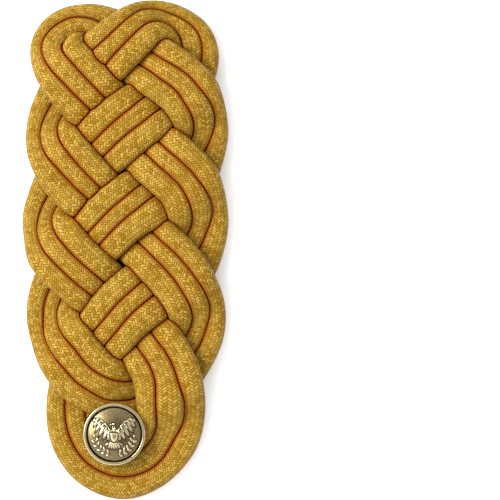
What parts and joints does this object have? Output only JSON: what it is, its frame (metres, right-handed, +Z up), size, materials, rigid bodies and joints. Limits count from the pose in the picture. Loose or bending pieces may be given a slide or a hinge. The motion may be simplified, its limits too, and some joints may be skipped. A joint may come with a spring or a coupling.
{
  "type": "shoulder knot",
  "caption": "Uniform shoulder knot: gold braided cords plaited side by side into a long flat knot on dark felt, with a domed gilt button.",
  "frame": {"origin": "middle of the knot's box in plan, on the underside of the felt", "axes": "+Y along the knot away from its button, +Z up out of the face, +X to the right seen from above with the button at the bottom"},
  "size_m": [0.0524, 0.1266, 0.0116],
  "materials": {
    "gold_cord": "silky braided gold cord",
    "navy_felt": "dark navy felt",
    "gilt": "bright gilt"
  },
  "bodies": {
    "root": {"outer_cord": "gold_cord", "middle_cord": "gold_cord", "inner_cord": "gold_cord", "backing": "navy_felt", "button_front": "gilt", "button_post": "gilt"}
  },
  "joints": []
}
